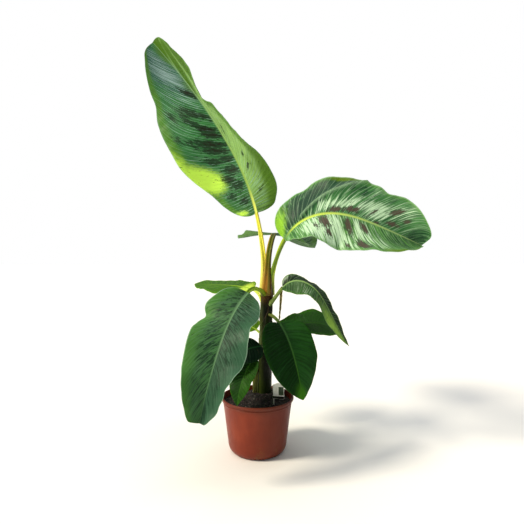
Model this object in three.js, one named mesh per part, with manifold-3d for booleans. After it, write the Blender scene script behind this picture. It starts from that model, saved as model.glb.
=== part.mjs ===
// A young banana plant in a round nursery pot, in millimetres with +Z up.
// The origin is on the pot's axis, on the flat underside that the pot stands on.
// +X is the side of the broad leaf that spreads out, and -Y is the front.
import * as THREE from 'three'
import { mergeVertices } from 'three/addons/utils/BufferGeometryUtils.js'
import Module from 'manifold-3d'

const wasm = await Module()
wasm.setup()

const GAP = 0.3 // clearance between pieces that touch

const POT = {
  height: 140,
  footRadius: 66,
  baseRadius: 75.5,
  baseBend: 16, // height of the rounded corner under the wall
  wallRadius: 91, // just under the lip
  lipRadius: 95,
  lipHeight: 6,
  wall: 2,
  floor: 2.4,
  sides: 40,
  drains: 10,
  drainWidth: 9,
  drainHeight: 3.6,
}

const SOIL = {
  edge: 126, // level at the pot's wall
  crest: 141, // level of the flat seat round the stem
  seat: 27,
  mound: 66, // where the mound has run out
}

const STEM = {
  foot: [18, 34], // centre of the flat cut, at soil level
  top: [25, 14, 410],
  footRadius: 19,
  topRadius: 17.5,
  flare: 2.5,
  sides: 12,
  steps: 10,
}

const SHEATH = {
  foot: [-7, 18, 141.4],
  length: 88,
  azimuth: [0, 0],
  elevation: [88, 88],
  roll: 75,
  footWidth: 12,
  topWidth: 19,
  thickness: 2.6,
}

const TAG = {
  foot: [54, -30],
  turn: -12,
  lean: 6,
  cardWidth: 30,
  cardHeight: 36,
  pointHeight: 7,
  stakeWidth: 8,
  stakeHeight: 16,
  thickness: 1.2,
}

const STRIP = {
  top: [64, -20, 421],
  length: 78,
  azimuth: [170, 190, 180],
  elevation: [-82, -84, -88],
  width: 8.5,
  thickness: 1.6,
  twist: 200,
}

const BLADE = { thickness: 2, neckWidth: 5, tipWidth: 2.5, across: 8 }

// Each leaf has a petiole and a blade. Angles are in degrees: an azimuth turns from +X towards +Y, an
// elevation rises from level, and a list of either is spread evenly from foot to tip. A blade rolls
// about its midrib. Its halves fold up from flat, curl further out towards the margin, and wave
// [degrees, waves along the leaf, phase]. The left half is on the left seen from the stem.
const LEAVES = {
  top: {
    foot: [19, 27, 404],
    petiole: { length: 227, azimuth: [120, 126], elevation: [92, 68], girth: [9, 5] },
    blade: {
      length: 610, azimuth: [126, 172, 174], elevation: [68, 57, 48], roll: [70, 116, 95],
      widest: 0.52, baseFullness: 2.5, tipFullness: 1.9, tipPoint: 0.6,
    },
    left: { width: 156, fold: [-20, 6, 32, 2, 8], curl: [0, 0, 15], wave: [3, 3, 0.18] },
    right: { width: 142, fold: [-40, 22, 48, 57, 58, 64, 56], curl: [0, 0, 0], wave: [-3, 3, 0] },
    cuts: [],
    steps: 18,
  },
  right: {
    foot: [34, 13, 404],
    petiole: { length: 157, azimuth: [-60, -32], elevation: [86, 57], girth: [7, 6] },
    blade: {
      length: 387, azimuth: [-32, -8, 14], elevation: [57, -15, -24], roll: [-55, -55, -80],
      widest: 0.38, baseFullness: 1.9, tipFullness: 1.8, tipPoint: 0.32,
    },
    left: { width: 112, fold: [38, 7, 14, -3, 40], curl: [0, 0, 50], wave: [6, 3, 0.2] },
    right: { width: 98, fold: [23, 15, -11, 3, 15], curl: [0, 5, 105], wave: [3, 3, 0.44] },
    cuts: [0.5],
    steps: 18,
  },
  back: {
    foot: [23, 3, 404],
    petiole: { length: 194, azimuth: [36, 84], elevation: [84, 80, 8], girth: [9.5, 7] },
    blade: {
      length: 360, azimuth: [84, 82, 80], elevation: [8, 2, 0, -6], roll: [0, 0, 0],
      widest: 0.42, baseFullness: 2.6, tipFullness: 2.4, tipPoint: 0.62,
    },
    left: { width: 122, fold: [-4, -6, 4, 4], curl: [0, 0, 0], wave: [2, 3, 0.2] },
    right: { width: 126, fold: [-4, -42, -14, -8], curl: [0, 44, 0], wave: [3, 3, 0.4] },
    cuts: [],
    steps: 12,
  },
  left: {
    foot: [25, 14, 390],
    petiole: { length: 105, azimuth: [-124, -122], elevation: [62, -27], girth: [7, 5] },
    blade: {
      length: 335, azimuth: [-122, -124, -152], elevation: [-27, -60, -80], roll: [27, 10, 38],
      widest: 0.42, baseFullness: 2.3, tipFullness: 1.5, tipPoint: 0.38,
    },
    left: { width: 73, fold: [-12, 18, 7, 6, 22], curl: [0, -6, 22], wave: [9, 3, 0.07] },
    right: { width: 80, fold: [12, -5, 24, 34, 34], curl: [0, -5, 45], wave: [5, 3, 0.8] },
    cuts: [0.4],
    steps: 16,
  },
  front: {
    foot: [24, 16, 356],
    petiole: { length: 66, azimuth: [-54, -66], elevation: [-5, -26], girth: [5, 4] },
    blade: {
      length: 204, azimuth: [-66, -63, -58], elevation: [-26, -59, -75], roll: [-4, -4, 0],
      widest: 0.4, baseFullness: 3, tipFullness: 2.2, tipPoint: 0.8,
    },
    left: { width: 66, fold: [20, 2, -4], curl: [0, -10, -12], wave: [2.4, 2, 0.14] },
    right: { width: 70, fold: [18, -2, -2], curl: [0, -10, -12], wave: [2.4, 2, 0.06] },
    cuts: [],
    steps: 12,
  },
  low_right: {
    foot: [22, 22, 282],
    petiole: { length: 36, azimuth: [20, 18], elevation: [62, 20], girth: [5, 4] },
    blade: {
      length: 220, azimuth: [18, 26, 40], elevation: [20, -4, -26], roll: [-20, -24, -34],
      widest: 0.64, baseFullness: 1.5, tipFullness: 2.4, tipPoint: 0.7,
    },
    left: { width: 80, fold: [-8, -8, 4], curl: [0, 0, 5], wave: [3, 2, 0.66] },
    right: { width: 62, fold: [0, 2, 6], curl: [0, 0, 5], wave: [3, 2, 0.72] },
    cuts: [],
    steps: 10,
  },
  arching: {
    foot: [25, 15, 366],
    petiole: { length: 82, azimuth: [-48, -42], elevation: [50, 45], girth: [6.5, 5] },
    blade: {
      length: 262, azimuth: [-42, -28, -20], elevation: [45, -54, -57], roll: [-42, -6, -4],
      widest: 0.3, baseFullness: 3.2, tipFullness: 1.8, tipPoint: 0.85,
    },
    left: { width: 36, fold: [48, -24, 0, 20, 0], curl: [0, 0, 0], wave: [-4, 2, 0.97] },
    right: { width: 38, fold: [10, -35, -6, -26, -45], curl: [0, 0, 0], wave: [-3, 2, 0.8] },
    cuts: [0.36],
    steps: 14,
  },
  back_left: {
    foot: [14, 25, 384],
    petiole: { length: 56, azimuth: [133, 132], elevation: [66, 7], girth: [5, 4] },
    blade: {
      length: 228, azimuth: [132, 142, 152], elevation: [7, -1, 0], roll: [20, 10, 20],
      widest: 0.55, baseFullness: 2.6, tipFullness: 1.5, tipPoint: 0.8,
    },
    left: { width: 64, fold: [-8, -2, 4], curl: [0, 0, 0], wave: [4, 2, -0.1] },
    right: { width: 58, fold: [5, -2, 5], curl: [0, 0, 5], wave: [3, 2, 0.3] },
    cuts: [],
    steps: 10,
  },
  rim: {
    foot: [21, 24, 250],
    petiole: { length: 64, azimuth: [-112, -128], elevation: [30, -35], girth: [5, 4] },
    blade: {
      length: 128, azimuth: [-128, -132, -116], elevation: [-35, -60, -76], roll: [0, 0, 0],
      widest: 0.45, baseFullness: 2.6, tipFullness: 1.5, tipPoint: 0.95,
    },
    left: { width: 34, fold: [0, 0, 0], curl: [0, 0, 0], wave: [2, 2, 0.2] },
    right: { width: 46, fold: [0, 0, 0], curl: [0, 0, 0], wave: [2, 2, 0.6] },
    cuts: [],
    steps: 8,
  },
  shaded: {
    foot: [21, 24, 266],
    petiole: { length: 36, azimuth: [-80, -140], elevation: [20, 2], girth: [4, 3] },
    blade: {
      length: 140, azimuth: [-140, -165, -170], elevation: [2, -20, -50], roll: [40, 40, 30],
      widest: 0.42, baseFullness: 3, tipFullness: 2.2, tipPoint: 0.7,
    },
    left: { width: 42, fold: [0, 0, 0], curl: [0, 0, 0], wave: [2, 2, 0.2] },
    right: { width: 36, fold: [0, 0, 0], curl: [0, 0, 0], wave: [2, 2, 0.6] },
    cuts: [],
    steps: 8,
  },
  sunlit: {
    foot: [22, 20, 284],
    petiole: { length: 40, azimuth: [150, 140], elevation: [50, 22], girth: [4, 3] },
    blade: {
      length: 165, azimuth: [140, 135, 133], elevation: [22, -10, -30], roll: [25, 25, 20],
      widest: 0.42, baseFullness: 2.6, tipFullness: 2.2, tipPoint: 0.7,
    },
    left: { width: 44, fold: [0, 0, 0], curl: [0, 0, 0], wave: [2, 2, 0.2] },
    right: { width: 44, fold: [0, 0, 0], curl: [0, 0, 0], wave: [2, 2, 0.6] },
    cuts: [],
    steps: 8,
  },
}

const MATERIALS = {
  terracotta: new THREE.MeshStandardMaterial({ color: 0x9c4630, roughness: 0.45, metalness: 0 }),
  soil: new THREE.MeshStandardMaterial({ color: 0x2a211c, roughness: 0.95, metalness: 0 }),
  stem: new THREE.MeshStandardMaterial({ color: 0x4a4a1e, roughness: 0.55, metalness: 0 }),
  petiole: new THREE.MeshStandardMaterial({ color: 0x9aa83a, roughness: 0.5, metalness: 0 }),
  leaf: new THREE.MeshStandardMaterial({ color: 0x3f7a3a, roughness: 0.4, metalness: 0 }),
  dry: new THREE.MeshStandardMaterial({ color: 0x75602f, roughness: 0.8, metalness: 0 }),
  tag: new THREE.MeshStandardMaterial({ color: 0xe6e8e0, roughness: 0.35, metalness: 0 }),
}

const UP = new THREE.Vector3(0, 0, 1)
const radians = THREE.MathUtils.degToRad
const plant = new THREE.Group()

// ---- shapes and curves ----

// A smooth value at t, from 0 to 1, of a few values spread evenly.
function along(values, t) {
  const last = values.length - 1
  const place = THREE.MathUtils.clamp(t, 0, 1) * last
  const i = Math.min(Math.floor(place), last - 1)
  const f = place - i
  const [a, b] = [values[i], values[i + 1]]
  const before = i > 0 ? values[i - 1] : 2 * a - b
  const after = i + 2 <= last ? values[i + 2] : 2 * b - a
  const ease = f * f * (3 - 2 * f)
  const leave = ((b - before) / 2) * f * (1 - f) ** 2
  const arrive = ((after - a) / 2) * f * f * (1 - f)
  return a * (1 - ease) + b * ease + leave - arrive
}

function heading(limb, t) {
  const azimuth = radians(along(limb.azimuth, t))
  const elevation = radians(along(limb.elevation, t))
  const level = Math.cos(elevation)
  return new THREE.Vector3(level * Math.cos(azimuth), level * Math.sin(azimuth), Math.sin(elevation))
}

// The curve that a limb draws from its foot as it follows its headings.
class Limb {
  constructor(foot, shape, steps = 48) {
    this.shape = shape
    this.steps = steps
    this.points = [foot.clone()]
    for (let i = 0; i < steps; i++) {
      const stride = heading(shape, (i + 0.5) / steps).multiplyScalar(shape.length / steps)
      this.points.push(this.points[i].clone().add(stride))
    }
  }

  point(t) {
    const place = THREE.MathUtils.clamp(t, 0, 1) * this.steps
    const i = Math.min(Math.floor(place), this.steps - 1)
    return this.points[i].clone().lerp(this.points[i + 1], place - i)
  }

  // Forward, sideways to the right of the heading, and up, after a roll about the heading.
  frame(t, roll = 0) {
    const forward = heading(this.shape, t)
    const side = forward.clone().cross(UP).normalize().applyAxisAngle(forward, -radians(roll))
    return { forward, side, up: side.clone().cross(forward) }
  }
}

// Closes a geometry's shared vertices, moves each by place(x, y, z) and gives it as a solid.
function solid(geometry, place) {
  const bare = geometry.clone()
  bare.deleteAttribute('normal')
  bare.deleteAttribute('uv')
  const closed = mergeVertices(bare, 1e-4)
  const positions = closed.attributes.position
  if (place) {
    for (let i = 0; i < positions.count; i++) {
      const moved = place(positions.getX(i), positions.getY(i), positions.getZ(i))
      positions.setXYZ(i, moved.x, moved.y, moved.z)
    }
  }
  const mesh = new wasm.Mesh({
    numProp: 3,
    vertProperties: new Float32Array(positions.array),
    triVerts: new Uint32Array(closed.index.array),
  })
  return new wasm.Manifold(mesh)
}

function addNode(name, shape, material) {
  const mesh = shape.getMesh()
  const geometry = new THREE.BufferGeometry()
  geometry.setAttribute('position', new THREE.BufferAttribute(new Float32Array(mesh.vertProperties), 3))
  geometry.setIndex(new THREE.BufferAttribute(new Uint32Array(mesh.triVerts), 1))
  geometry.computeVertexNormals()
  const node = new THREE.Mesh(geometry, material)
  node.name = name
  plant.add(node)
}

// A round tube along a limb, from radius girth[0] to girth[1], grown all round by grow.
function tube(limb, girth, sides, steps, grow = 0) {
  const unit = new THREE.CylinderGeometry(1, 1, 1, sides, steps)
  return solid(unit, (x, y, z) => {
    const t = y + 0.5
    const radius = THREE.MathUtils.lerp(girth[0], girth[1], t) + grow
    const { side, up } = limb.frame(t)
    return limb.point(t).addScaledVector(side, x * radius).addScaledVector(up, z * radius)
  })
}

// A solid of revolution about Z, from [radius, height] points that close on themselves.
function turned(profile, sides) {
  const points = profile.map(([radius, height]) => new THREE.Vector2(radius, height))
  const lathe = new THREE.LatheGeometry(points, sides)
  lathe.rotateX(Math.PI / 2)
  return solid(lathe)
}

// ---- pot and soil ----

function wallRadius(height) {
  const { baseBend, baseRadius, wallRadius: top, height: rim, lipHeight } = POT
  return THREE.MathUtils.mapLinear(height, baseBend, rim - lipHeight, baseRadius, top)
}

// The rounded corner from the foot up to the wall, pulled in by inset.
function corner(inset, steps = 4) {
  const points = []
  for (let i = 0; i <= steps; i++) {
    const turn = ((i / steps) * Math.PI) / 2
    const radius = POT.footRadius + (POT.baseRadius - POT.footRadius) * Math.sin(turn) - inset
    points.push([radius, inset + (POT.baseBend - inset) * (1 - Math.cos(turn))])
  }
  return points
}

function makePot() {
  const { height, lipRadius, lipHeight, wall, floor, sides } = POT
  const underLip = height - lipHeight
  const outside = [
    [0, 0],
    ...corner(0),
    [wallRadius(underLip), underLip],
    [lipRadius - 1, underLip],
    [lipRadius, underLip + 1.5],
    [lipRadius, height - 1.5],
    [lipRadius - 1.5, height],
  ]
  const inside = [
    [wallRadius(height) - wall + 0.5, height],
    [wallRadius(underLip) - wall, underLip - 2],
    ...corner(wall).reverse(),
    [0, floor],
    [0, 0],
  ]
  let pot = turned([...outside, ...inside], sides)
  for (let i = 0; i < POT.drains; i++) {
    const slot = new THREE.BoxGeometry(24, POT.drainWidth, POT.drainHeight * 2)
    slot.translate(POT.footRadius + 2, 0, 0)
    slot.rotateZ(((i + 0.5) * 2 * Math.PI) / POT.drains)
    pot = pot.subtract(solid(slot))
  }
  addNode('pot', pot, MATERIALS.terracotta)
}

// The soil is level at the pot's wall and rises in a mound to a flat seat round the stem.
function soilHeight(x, y) {
  const away = Math.hypot(x - STEM.foot[0], y - STEM.foot[1])
  const rise = 1 - THREE.MathUtils.smoothstep(away, SOIL.seat, SOIL.mound)
  return THREE.MathUtils.lerp(SOIL.edge, SOIL.crest, rise)
}

function makeSoil() {
  const inset = POT.wall + GAP
  const level = SOIL.edge
  const rings = [0.86, 0.72, 0.58, 0.44, 0.3, 0.15]
  const edge = wallRadius(level) - inset
  const profile = [
    [0, POT.floor + GAP],
    ...corner(inset + 0.4),
    [edge, level],
    ...rings.map((share) => [edge * share, level]),
    [0, level],
  ]
  const points = profile.map(([radius, height]) => new THREE.Vector2(radius, height))
  const lathe = new THREE.LatheGeometry(points, 32)
  lathe.rotateX(Math.PI / 2)
  const soil = solid(lathe, (x, y, z) => {
    const onTop = z > level - 0.01
    const atWall = Math.hypot(x, y) > edge - 0.5
    return new THREE.Vector3(x, y, onTop && !atWall ? soilHeight(x, y) : z)
  })
  addNode('soil', soil, MATERIALS.soil)
}

// ---- stem ----

function stemCentre(t) {
  const foot = new THREE.Vector3(...STEM.foot, SOIL.crest + GAP)
  return foot.lerp(new THREE.Vector3(...STEM.top), t)
}

// The banana's stem of rolled leaf bases, flat at the soil and at the crown.
function stemSolid(grow = 0) {
  const unit = new THREE.CylinderGeometry(1, 1, 1, STEM.sides, STEM.steps)
  return solid(unit, (x, y, z) => {
    const t = y + 0.5
    const flare = STEM.flare * (1 - t) ** 6
    const radius = THREE.MathUtils.lerp(STEM.footRadius, STEM.topRadius, t) + flare + grow
    const lift = t > 0.999 ? grow : 0
    return stemCentre(t).add(new THREE.Vector3(x * radius, -z * radius, lift))
  })
}

// ---- leaves ----

// Half-width at t as a share of the widest.
function outline(blade, t) {
  const { widest, baseFullness, tipFullness, tipPoint } = blade
  if (t < widest) return Math.sqrt(Math.max(1 - ((widest - t) / widest) ** baseFullness, 0))
  return Math.max(1 - ((t - widest) / (1 - widest)) ** tipFullness, 0) ** tipPoint
}

// The blade's middle surface at t along the midrib and v across, from -1 at the left margin to 1.
function bladePoint(leaf, midrib, t, v) {
  const half = v > 0 ? leaf.right : leaf.left
  const reach = Math.abs(v)
  const least = THREE.MathUtils.lerp(BLADE.neckWidth, BLADE.tipWidth, t)
  const width = Math.max(half.width * outline(leaf.blade, t), least) * reach
  const [size, count, phase] = half.wave
  const wave = size * Math.sin(2 * Math.PI * (count * t + phase)) * reach
  const turn = radians(along(half.fold, t) + (along(half.curl, t) * reach) / 2 + wave)
  const { side, up } = midrib.frame(t, along(leaf.blade.roll, t))
  return midrib
    .point(t)
    .addScaledVector(side, Math.sign(v) * width * Math.cos(turn))
    .addScaledVector(up, width * Math.sin(turn))
}

function bladeNormal(leaf, midrib, t, v) {
  const step = 0.02
  const here = (dt, dv) => {
    const place = THREE.MathUtils.clamp(t + dt, 0.01, 0.99)
    return bladePoint(leaf, midrib, place, THREE.MathUtils.clamp(v + dv, -1, 1))
  }
  const forward = here(step, 0).sub(here(-step, 0))
  const across = here(0, step).sub(here(0, -step))
  return across.cross(forward).normalize()
}

function bladeSolid(leaf, midrib, from, to, steps) {
  const slab = new THREE.BoxGeometry(1, 1, 1, steps, BLADE.across, 1)
  return solid(slab, (x, y, z) => {
    const t = THREE.MathUtils.lerp(from, to, x + 0.5)
    const v = -2 * y
    const normal = bladeNormal(leaf, midrib, t, v)
    return bladePoint(leaf, midrib, t, v).addScaledVector(normal, z * BLADE.thickness)
  })
}

function makeLeaf(name, leaf, petioles, stemRoom) {
  const petioleLimb = new Limb(new THREE.Vector3(...leaf.foot), leaf.petiole)
  let petiole = tube(petioleLimb, leaf.petiole.girth, 8, 7).subtract(stemRoom)
  for (const room of petioles) petiole = petiole.subtract(room)
  petioles.push(tube(petioleLimb, leaf.petiole.girth, 8, 7, GAP))
  addNode(`${name}_petiole`, petiole, MATERIALS.petiole)

  const midrib = new Limb(petioleLimb.point(1), leaf.blade)
  const share = GAP / leaf.blade.length
  const stations = [share, ...leaf.cuts.flatMap((cut) => [cut, cut + share]), 1]
  const parts = stations.length / 2
  for (let i = 0; i < parts; i++) {
    const [from, to] = stations.slice(2 * i, 2 * i + 2)
    const steps = Math.max(Math.round(leaf.steps * (to - from)), 5)
    const ending = parts === 1 ? 'blade' : ['inner_blade', 'outer_blade'][i]
    addNode(`${name}_${ending}`, bladeSolid(leaf, midrib, from, to, steps), MATERIALS.leaf)
  }
}

// ---- small pieces ----

// A thin band along a limb, whose width and roll run from [0] at its foot to [1] at its end.
function band(limb, width, roll, thickness, steps) {
  const slab = new THREE.BoxGeometry(1, 1, 1, steps, 2, 1)
  return solid(slab, (x, y, z) => {
    const t = x + 0.5
    const { side, up } = limb.frame(t, THREE.MathUtils.lerp(roll[0], roll[1], t))
    const across = -y * THREE.MathUtils.lerp(width[0], width[1], t)
    return limb.point(t).addScaledVector(side, across).addScaledVector(up, z * thickness)
  })
}

function makeOldSheath(stemRoom, petioles) {
  const limb = new Limb(new THREE.Vector3(...SHEATH.foot), SHEATH)
  const { footWidth, topWidth, roll, thickness } = SHEATH
  let sheath = band(limb, [footWidth, topWidth], [roll, roll], thickness, 8).subtract(stemRoom)
  for (const room of petioles) sheath = sheath.subtract(room)
  addNode('old_sheath', sheath, MATERIALS.stem)
}

function makeDriedStrip(petioles) {
  const limb = new Limb(new THREE.Vector3(...STRIP.top), STRIP)
  let strip = band(limb, [STRIP.width, STRIP.width], [0, STRIP.twist], STRIP.thickness, 12)
  for (const room of petioles) strip = strip.subtract(room)
  addNode('dried_strip', strip, MATERIALS.dry)
}

// A blank plant label: a card with a pointed top on a narrow stake.
function makeTag() {
  const { cardWidth, cardHeight, pointHeight, stakeWidth, stakeHeight, thickness } = TAG
  const [half, stake, top] = [cardWidth / 2, stakeWidth / 2, stakeHeight + cardHeight]
  const shape = new THREE.Shape()
  shape.moveTo(-half, stakeHeight)
  shape.lineTo(-half, top)
  shape.lineTo(0, top + pointHeight)
  shape.lineTo(half, top)
  shape.lineTo(half, stakeHeight)
  shape.lineTo(-half + 2 * stake, stakeHeight)
  shape.lineTo(-half + 2 * stake, 0)
  shape.lineTo(-half, 0)
  shape.closePath()
  const card = new THREE.ExtrudeGeometry(shape, { depth: thickness, bevelEnabled: false })
  card.rotateX(Math.PI / 2 + radians(TAG.lean))
  card.rotateZ(radians(TAG.turn))
  card.translate(TAG.foot[0], TAG.foot[1], soilHeight(...TAG.foot) + 2 * GAP)
  addNode('plant_tag', solid(card), MATERIALS.tag)
}

makePot()
makeSoil()
addNode('pseudostem', stemSolid(), MATERIALS.stem)
const stemRoom = stemSolid(GAP)
const petioleRooms = []
for (const [name, leaf] of Object.entries(LEAVES)) makeLeaf(name, leaf, petioleRooms, stemRoom)
makeOldSheath(stemRoom, petioleRooms)
makeDriedStrip(petioleRooms)
makeTag()

export default plant
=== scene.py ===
"""The looks of a young banana plant in its nursery pot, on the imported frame, in metres with +Z up.

The leaves are laid out by the same sizes and headings as their CAD blades and petioles, and then get
what those leave out: a channelled petiole, a midrib, pleats between the lateral veins, and markings
that follow the veins. The stem, pot and soil are modelled round their CAD nodes' own boxes.
"""

import math
import random
from collections import namedtuple
from types import SimpleNamespace

import bmesh
import bpy
import numpy as np
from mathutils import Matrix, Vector, noise


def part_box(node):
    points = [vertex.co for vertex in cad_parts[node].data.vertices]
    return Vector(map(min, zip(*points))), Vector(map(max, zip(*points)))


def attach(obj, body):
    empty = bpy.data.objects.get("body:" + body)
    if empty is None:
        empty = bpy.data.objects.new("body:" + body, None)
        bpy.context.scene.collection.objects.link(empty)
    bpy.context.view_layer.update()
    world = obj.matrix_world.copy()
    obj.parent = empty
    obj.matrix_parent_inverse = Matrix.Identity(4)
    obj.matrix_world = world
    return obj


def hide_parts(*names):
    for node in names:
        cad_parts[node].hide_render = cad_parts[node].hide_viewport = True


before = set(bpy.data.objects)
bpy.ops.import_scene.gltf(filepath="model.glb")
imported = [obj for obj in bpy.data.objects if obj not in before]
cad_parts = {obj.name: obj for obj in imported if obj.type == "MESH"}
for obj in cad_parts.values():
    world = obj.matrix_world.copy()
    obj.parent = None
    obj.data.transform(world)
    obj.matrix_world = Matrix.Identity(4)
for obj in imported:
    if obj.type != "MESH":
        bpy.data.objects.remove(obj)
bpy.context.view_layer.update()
dice = random.Random(11)  # for the crumbs


# ---- the leaves ----

# Angles are in degrees. An azimuth turns from +X towards +Y and an elevation rises from level, and several
# values of either are spread evenly from foot to tip. girth is the petiole's radius at its foot and neck.
Petiole = namedtuple("Petiole", "length azimuth elevation girth")

# A blade rolls about its midrib and is widest at this share of its length. The higher its fullness on
# either side of that, the fuller its outline, and the higher tip_point is, the sharper its end.
Blade = namedtuple("Blade", "length azimuth elevation roll widest base_fullness tip_fullness tip_point")

# Half a blade, this wide at its widest: the left half is on the left seen from the stem. It folds up from
# flat, curls further out towards the margin, and waves (degrees, waves along the leaf, phase). A lobe of
# its outline is (place along in percent, reach along in percent, extra width in millimetres).
Half = namedtuple("Half", "width fold curl wave lobes", defaults=((0, 0), (0, 0), (2, 2, 0.2), ()))

# A petiole's colours, where along it the foot's gives way to the neck's, and how strong its edges are. The
# edge colours are partly the petiole's own and partly painted highlight and shade.
PETIOLE_DEFAULTS = ("8AA24A", "3C4F20", 0.5, "8E9A52", (0.2, 0.9))
PetioleLook = namedtuple(
    "PetioleLook", "foot neck left_edge right_edge edge_share fibre change", defaults=PETIOLE_DEFAULTS
)

Leaf = namedtuple("Leaf", "foot petiole blade left right petiole_look look")

# How a blade looks, with colours in hex. left and right colour its halves, which differ partly as painted
# light and shade on halves turned to the light or away from it, deep the mottling and foot the part near
# the petiole, as far as foot_until. The margin's colour starts at margin_from across each half and is full
# at margin_full, and rim is the strength of the outline itself. The lateral veins lean back from the midrib
# by slant, given from foot to tip, and line is their strength. streaks is the strength of the mottling along
# the veins and streak_count its fineness. ragged is how fine the edges of the blotches are, across the veins
# and along them, and dashes is the same for the dark marks, and then their contrast. silver is how streaky
# the painted sheen is, and silver_line how far it keeps to the veins. A blotch turns from blotch_deep to
# blotch_colour where it is stronger than core. shine is the skin's reflectance, gloss its least roughness,
# through the colour of the light from behind, ripple the depth of the waves across the blade, and
# rib_taper how fast the midrib thins.
#
# A spot is (place along the midrib, place across from -100 to 100, reach along, reach across, strength),
# the first four in percent. blotch spots are the maroon marks of the young plant, lime is painted sunlight
# shining through the thin leaf, sheen is a painted silvery reflection, dark is painted shade or a deeper
# green, and olive is a yellower one. A crease is (side, place along at the midrib, place along at the
# margin, height, reach), and the blade is painted with shade on a crease's foot side and a highlight on it.
PLAIN_BLADE = {
    "foot": "37663C", "foot_until": 0.01, "under": "6E8F5A", "margin_from": 0.78, "rim": 0.5,
    "slant": (0.15, 0.3, 0.45, 0.8, 1.2), "line": 0.25, "streaks": 0.4, "streak_count": 430,
    "ragged": (330, 34), "dashes": (300, 48, 2.6), "silver": 1.0, "silver_line": 0.0, "core": 0.48,
    "blotch_deep": "16301A", "blotch_colour": "3A241C", "lime_colour": "B4E04A",
    "sheen_colour": "8FB3A6", "dark_colour": "12301C", "olive_colour": "55801F", "shine": 0.16,
    "gloss": 0.36, "through": "8CC63A", "through_share": 0.1, "ripple": 0.0008, "rib_taper": 1.25,
    "blotch": (), "lime": (), "sheen": (), "dark": (), "olive": (), "creases": (),
}


def blade_look(left, right, deep, margin, rib, rib_tip, vein, **own):
    """The plain look with a leaf's own colours, and whatever else it has of its own."""
    look = {
        **PLAIN_BLADE, "left": left, "right": right, "deep": deep, "deep_right": deep, "margin": margin,
        "margin_right": margin, "rim_colour": vein, "rib": rib, "rib_foot": rib, "rib_tip": rib_tip,
        "vein": vein, **own,
    }
    look.setdefault("margin_full", look["margin_from"] + 0.16)
    return SimpleNamespace(**look)


LEAVES = {}

LEAVES["top"] = Leaf(
    (0.019, 0.027, 0.404),
    Petiole(0.227, (120, 126), (92, 68), (0.009, 0.005)),
    Blade(0.61, (126, 172, 174), (68, 57, 48), (70, 116, 95), 0.52, 2.5, 1.9, 0.6),
    Half(
        0.156, (-20, 6, 32, 2, 8), (0, 0, 15), (3, 3, 0.18),
        lobes=[(22, 4, -3), (40, 8, 5), (77, 5, -9), (88, 7, -5), (100, 3, 14)],
    ),
    Half(
        0.142, (-40, 22, 48, 57, 58, 64, 56), wave=(-3, 3, 0),
        lobes=[
            (2, 2, 8), (13, 5, -9), (47.5, 3, 20), (55.5, 2.8, -14), (64, 3, 4), (86, 6, 9), (99, 2, -3),
        ],
    ),
    # The top petiole's near-white yellow is partly painted sunlight shining through it.
    PetioleLook("EAD440", "FCFC66", "FEFE98", "E0C444", 0.6, "F0E860", (0.0, 0.5)),
    blade_look(
        "3C8248", "AEDC7C", "245A32", "578A22", "98BC56", "8FB98A", "8CBE98", deep_right="7CAA4C",
        rib_foot="E8F070", foot="2C5A1E", foot_until=0.3, margin_from=0.74, line=0.45, streaks=0.5,
        slant=(0.1, 0.35, 0.8, 1.6, 2.4), lime_colour="CEFF58", silver=2.8, silver_line=0.6, rim=0.2,
        sheen_colour="ACC8CE", ripple=0.0004, dark_colour="32625A", blotch_colour="1C1A10",
        blotch_deep="11281A", core=0.84, ragged=(280, 75),
        blotch=[
            (70, -12, 2.2, 14, 1.2), (67, -68, 2, 12, 0.7), (64, -45, 2, 14, 0.7), (61, -28, 2.6, 18, 0.9),
            (58, -40, 2.2, 14, 0.8), (56, -12, 2.4, 12, 0.8), (50, -22, 2.2, 20, 1.1),
            (46, -18, 2, 18, 1.1), (42, -28, 2, 26, 1.2), (38, -26, 1.8, 26, 1.1), (54, -78, 1.8, 10, 0.6),
            (47, -57, 2, 12, 0.6), (34, -40, 2, 20, 0.8), (32, -18, 2, 16, 0.9), (26, -20, 2.6, 18, 1),
            (23, -38, 2.4, 16, 0.9), (18, -26, 3.2, 22, 0.8), (15, -57, 2.2, 16, 0.7), (9, -30, 3, 22, 0.7),
            (51, 78, 0.8, 6, 0.8), (42, 35, 0.9, 12, 0.7), (26, 48, 0.9, 7, 0.8), (21, 35, 1.1, 14, 0.7),
            (10, 40, 1.2, 14, 0.5),
        ],
        lime=[(37, -100, 7, 24, 0.8), (29, -80, 5.5, 32, 1.3), (4, -78, 1.8, 35, 0.7)],
        sheen=[(88, -40, 17, 75, 0.56), (72, -30, 10, 45, 0.4)], dark=[(90, -45, 20, 70, 1)],
        olive=[
            (98, 60, 14, 90, 1), (84, 45, 13, 60, 1), (80, 90, 12, 45, 0.9), (12, 90, 14, 45, 0.8),
            (20, 50, 8, 30, 0.5),
        ],
    ),
)
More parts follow.
